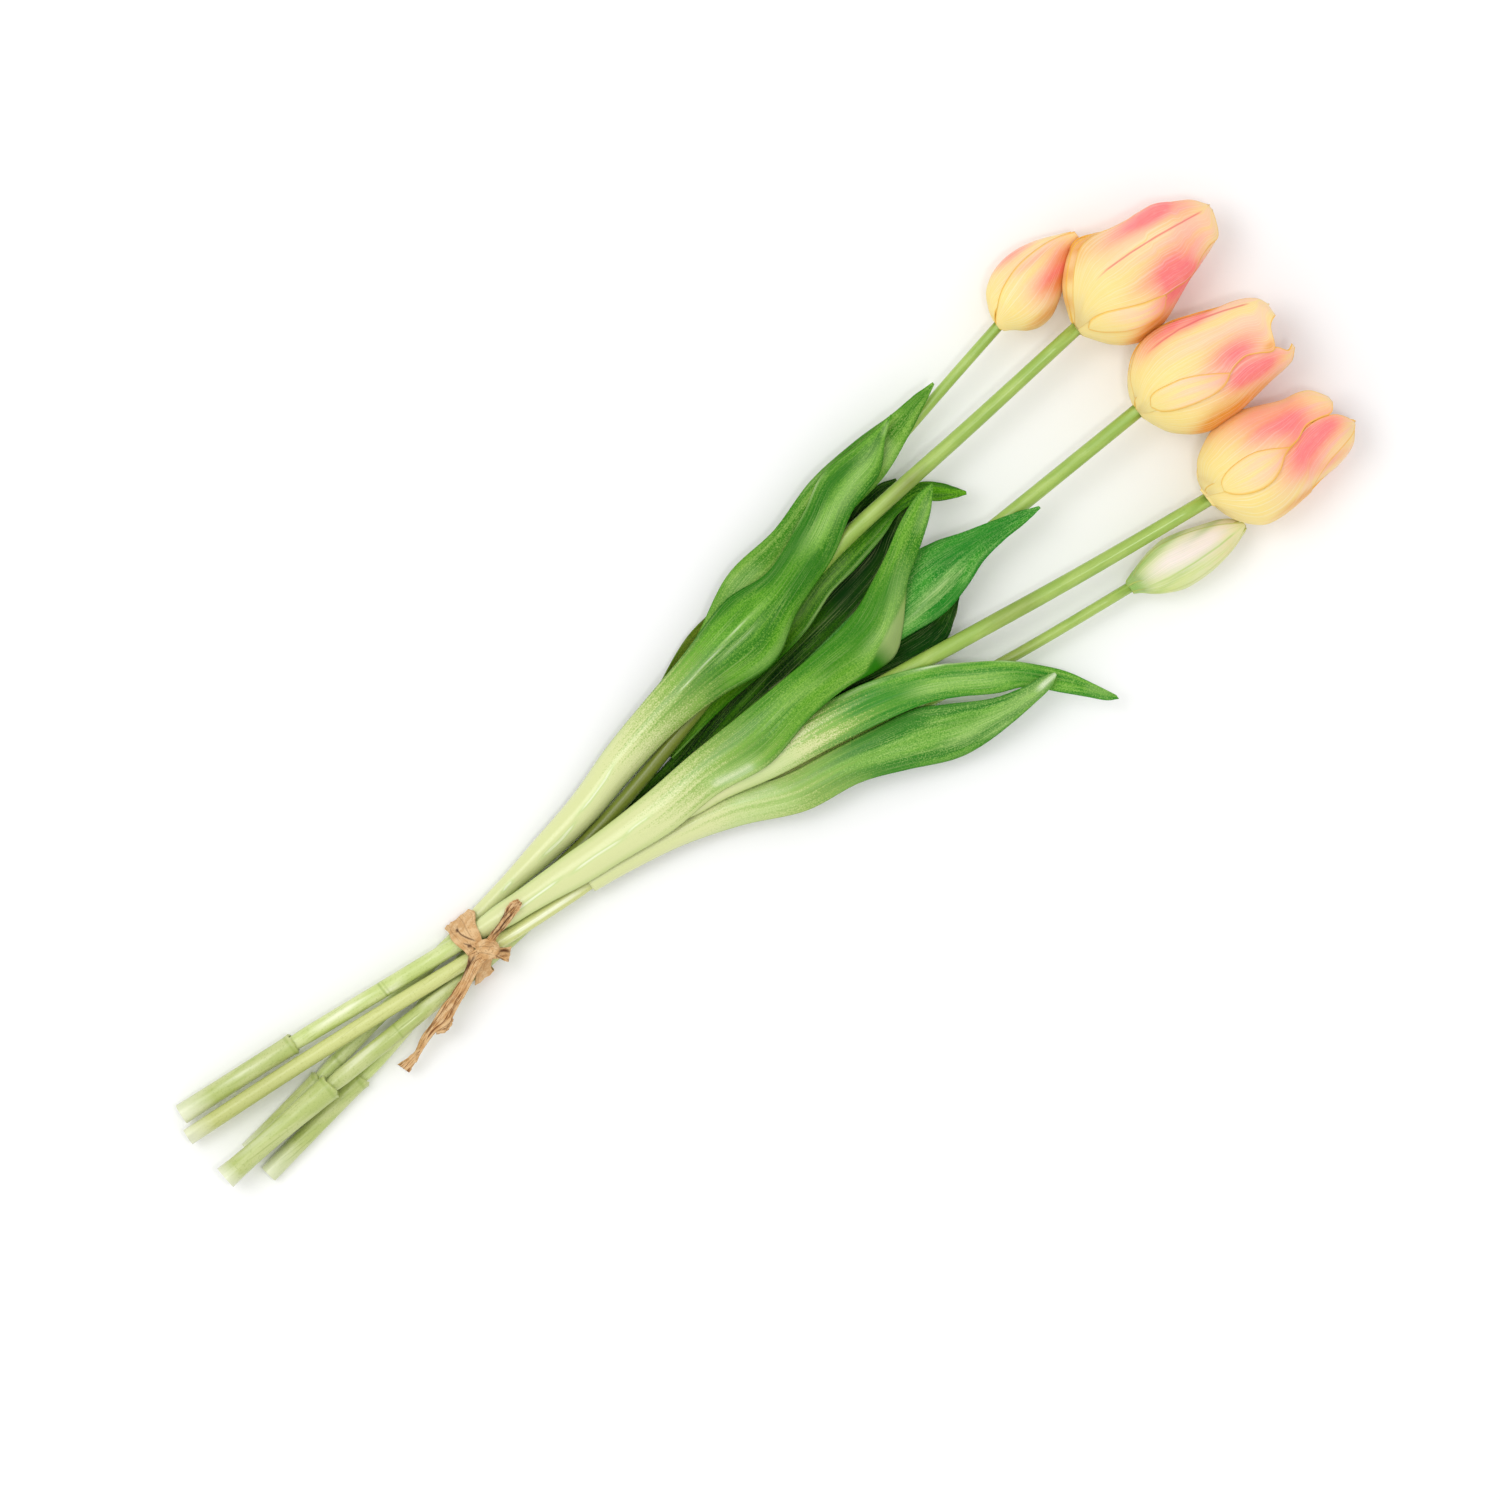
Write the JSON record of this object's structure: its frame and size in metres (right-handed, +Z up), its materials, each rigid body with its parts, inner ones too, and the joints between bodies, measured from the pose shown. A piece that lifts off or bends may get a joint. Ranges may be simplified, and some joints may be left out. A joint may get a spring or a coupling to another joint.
{
  "type": "bunch of tulips",
  "caption": "Tied bunch of tulips with long stems, clasping leaves, peach blooms and a closed bud, bound with paper raffia and lying on its side.",
  "frame": {"origin": "middle of the bunch's box, on the surface that it lies on", "axes": "+X from the cut ends to the blooms, +Y across the bunch, +Z up"},
  "size_m": [0.4687, 0.1433, 0.0379],
  "materials": {
    "stem": "satin",
    "sleeve": "satin",
    "leaf": "satin",
    "petal": "matte",
    "bud": "matte",
    "raffia": "matte"
  },
  "bodies": {
    "root": {"stem_1": "stem", "stem_2": "stem", "stem_3": "stem", "stem_4": "stem", "stem_5": "stem", "sleeve_1": "sleeve", "sleeve_2": "sleeve", "sleeve_3": "sleeve", "sleeve_4": "sleeve", "leaf_1": "leaf", "leaf_2": "leaf", "leaf_3": "leaf", "leaf_4": "leaf", "leaf_5": "leaf", "leaf_6": "leaf", "leaf_7": "leaf", "leaf_8": "leaf", "leaf_9": "leaf", "leaf_10": "leaf", "bloom_1": "petal", "bloom_2": "petal", "bloom_3": "petal", "bloom_4": "petal", "bud_5": "bud", "tie": "raffia"}
  },
  "joints": []
}
